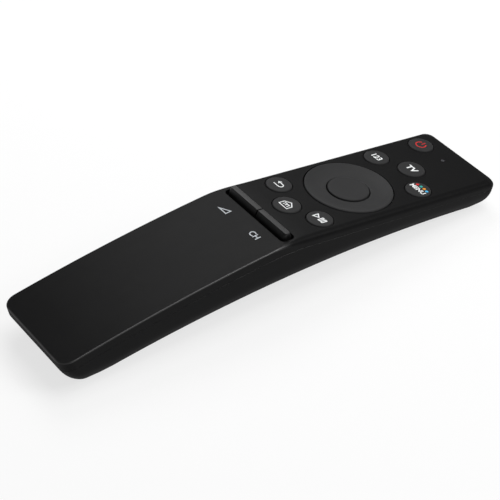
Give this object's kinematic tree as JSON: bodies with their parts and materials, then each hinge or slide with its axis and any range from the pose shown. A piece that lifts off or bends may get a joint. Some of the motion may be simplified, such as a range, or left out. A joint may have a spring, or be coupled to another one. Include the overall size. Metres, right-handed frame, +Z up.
{
  "type": "remote control",
  "caption": "Slim handheld television remote control with an arched case, a round direction key, round keys and a raised ridge of rocker paddles.",
  "frame": {"origin": "on the table under the middle of the case", "axes": "+Y runs along the length towards the infrared end, +Z up from the table, +X to the right of a reader whose hand holds the near end"},
  "size_m": [0.0356, 0.1688, 0.0232],
  "materials": {
    "case_plastic": "satin near-black",
    "key_plastic": "satin dark grey",
    "ring_plastic": "satin dark grey",
    "paddle_plastic": "semi-gloss near-black",
    "window_plastic": "gloss, dark red-black",
    "keypad_rubber": "matt grey",
    "board_laminate": "green coated",
    "chip_black": "matt black",
    "bright_steel": "plated",
    "cell_sleeve": "printed sleeve, plain",
    "clear_resin": "clear cast resin"
  },
  "bodies": {
    "case": {"top_shell": "case_plastic", "bottom_shell": "case_plastic", "infrared_window": "window_plastic", "rubber_keypad": "keypad_rubber", "circuit_board": "board_laminate", "control_chip": "chip_black", "capacitor": "cell_sleeve", "crystal": "bright_steel", "indicator_lamp": "clear_resin", "infrared_emitters": "clear_resin", "batteries": "cell_sleeve", "battery_contacts": "bright_steel", "contact_springs": "bright_steel", "indicator_lens": "clear_resin"},
    "battery_cover": {"battery_cover": "case_plastic"},
    "ring_rocker": {"ring_rocker_plate": "chip_black"},
    "direction_ring": {"direction_ring": "ring_plastic"},
    "select_button": {"select_button": "key_plastic"},
    "power_button": {"power_button": "key_plastic"},
    "number_button": {"number_button": "key_plastic"},
    "upper_button": {"upper_button": "key_plastic"},
    "colour_button": {"colour_button": "key_plastic"},
    "return_button": {"return_button": "key_plastic"},
    "home_button": {"home_button": "key_plastic"},
    "play_button": {"play_button": "key_plastic"},
    "volume_cradle": {"volume_cradle": "chip_black", "volume_pin": "bright_steel"},
    "volume_paddle": {"volume_paddle": "paddle_plastic"},
    "channel_cradle": {"channel_cradle": "chip_black", "channel_pin": "bright_steel"},
    "channel_paddle": {"channel_paddle": "paddle_plastic"}
  },
  "joints": [
    {"name": "power_press", "type": "slide", "parent": "case", "child": "power_button", "axis": [0, -0.1324, -0.9912], "range_m": [0, 0.0006], "stiffness_N_per_m": 1500, "deforming": ["rubber_keypad"]},
    {"name": "number_press", "type": "slide", "parent": "case", "child": "number_button", "axis": [0, -0.1324, -0.9912], "range_m": [0, 0.0006], "stiffness_N_per_m": 1500, "deforming": ["rubber_keypad"]},
    {"name": "upper_press", "type": "slide", "parent": "case", "child": "upper_button", "axis": [0, -0.1324, -0.9912], "range_m": [0, 0.0006], "stiffness_N_per_m": 1500, "deforming": ["rubber_keypad"]},
    {"name": "colour_press", "type": "slide", "parent": "case", "child": "colour_button", "axis": [0, -0.1324, -0.9912], "range_m": [0, 0.0006], "stiffness_N_per_m": 1500, "deforming": ["rubber_keypad"]},
    {"name": "return_press", "type": "slide", "parent": "case", "child": "return_button", "axis": [0, -0.1324, -0.9912], "range_m": [0, 0.0006], "stiffness_N_per_m": 1500, "deforming": ["rubber_keypad"]},
    {"name": "home_press", "type": "slide", "parent": "case", "child": "home_button", "axis": [0, -0.1324, -0.9912], "range_m": [0, 0.0006], "stiffness_N_per_m": 1500, "deforming": ["rubber_keypad"]},
    {"name": "play_press", "type": "slide", "parent": "case", "child": "play_button", "axis": [0, -0.1324, -0.9912], "range_m": [0, 0.0006], "stiffness_N_per_m": 1500, "deforming": ["rubber_keypad"]},
    {"name": "select_press", "type": "slide", "parent": "case", "child": "select_button", "axis": [0, -0.1324, -0.9912], "range_m": [0, 0.0006], "stiffness_N_per_m": 1500, "deforming": ["rubber_keypad"]},
    {"name": "ring_tilt_far_near", "type": "hinge", "parent": "case", "child": "ring_rocker", "pos_m": [0, 0.03431, 0.0156], "axis": [1, 0, 0], "range_deg": [-1.75, 1.75], "stiffness_Nm_per_rad": 0.5, "deforming": ["rubber_keypad"]},
    {"name": "ring_tilt_left_right", "type": "hinge", "parent": "ring_rocker", "child": "direction_ring", "pos_m": [0, 0.03431, 0.0156], "axis": [0, 0.9912, -0.1324], "range_deg": [-1.75, 1.75], "stiffness_Nm_per_rad": 0.5, "deforming": ["rubber_keypad"]},
    {"name": "volume_press", "type": "slide", "parent": "case", "child": "volume_cradle", "axis": [0, -0.1324, -0.9912], "range_m": [0, 0.0004], "stiffness_N_per_m": 2000, "deforming": ["rubber_keypad"]},
    {"name": "volume_rock", "type": "hinge", "parent": "volume_cradle", "child": "volume_paddle", "pos_m": [0, -0.00191, 0.01829], "axis": [1, 0, 0], "range_deg": [-6, 6], "stiffness_Nm_per_rad": 0.05, "deforming": ["rubber_keypad"]},
    {"name": "channel_press", "type": "slide", "parent": "case", "child": "channel_cradle", "axis": [0, -0.1324, -0.9912], "range_m": [0, 0.0004], "stiffness_N_per_m": 2000, "deforming": ["rubber_keypad"]},
    {"name": "channel_rock", "type": "hinge", "parent": "channel_cradle", "child": "channel_paddle", "pos_m": [0, -0.00191, 0.01829], "axis": [1, 0, 0], "range_deg": [-6, 6], "stiffness_Nm_per_rad": 0.05, "deforming": ["rubber_keypad"]},
    {"name": "battery_cover_lift", "type": "slide", "parent": "case", "child": "battery_cover", "axis": [0, 0.1014, -0.9948], "range_m": [0, 0.02]}
  ]
}
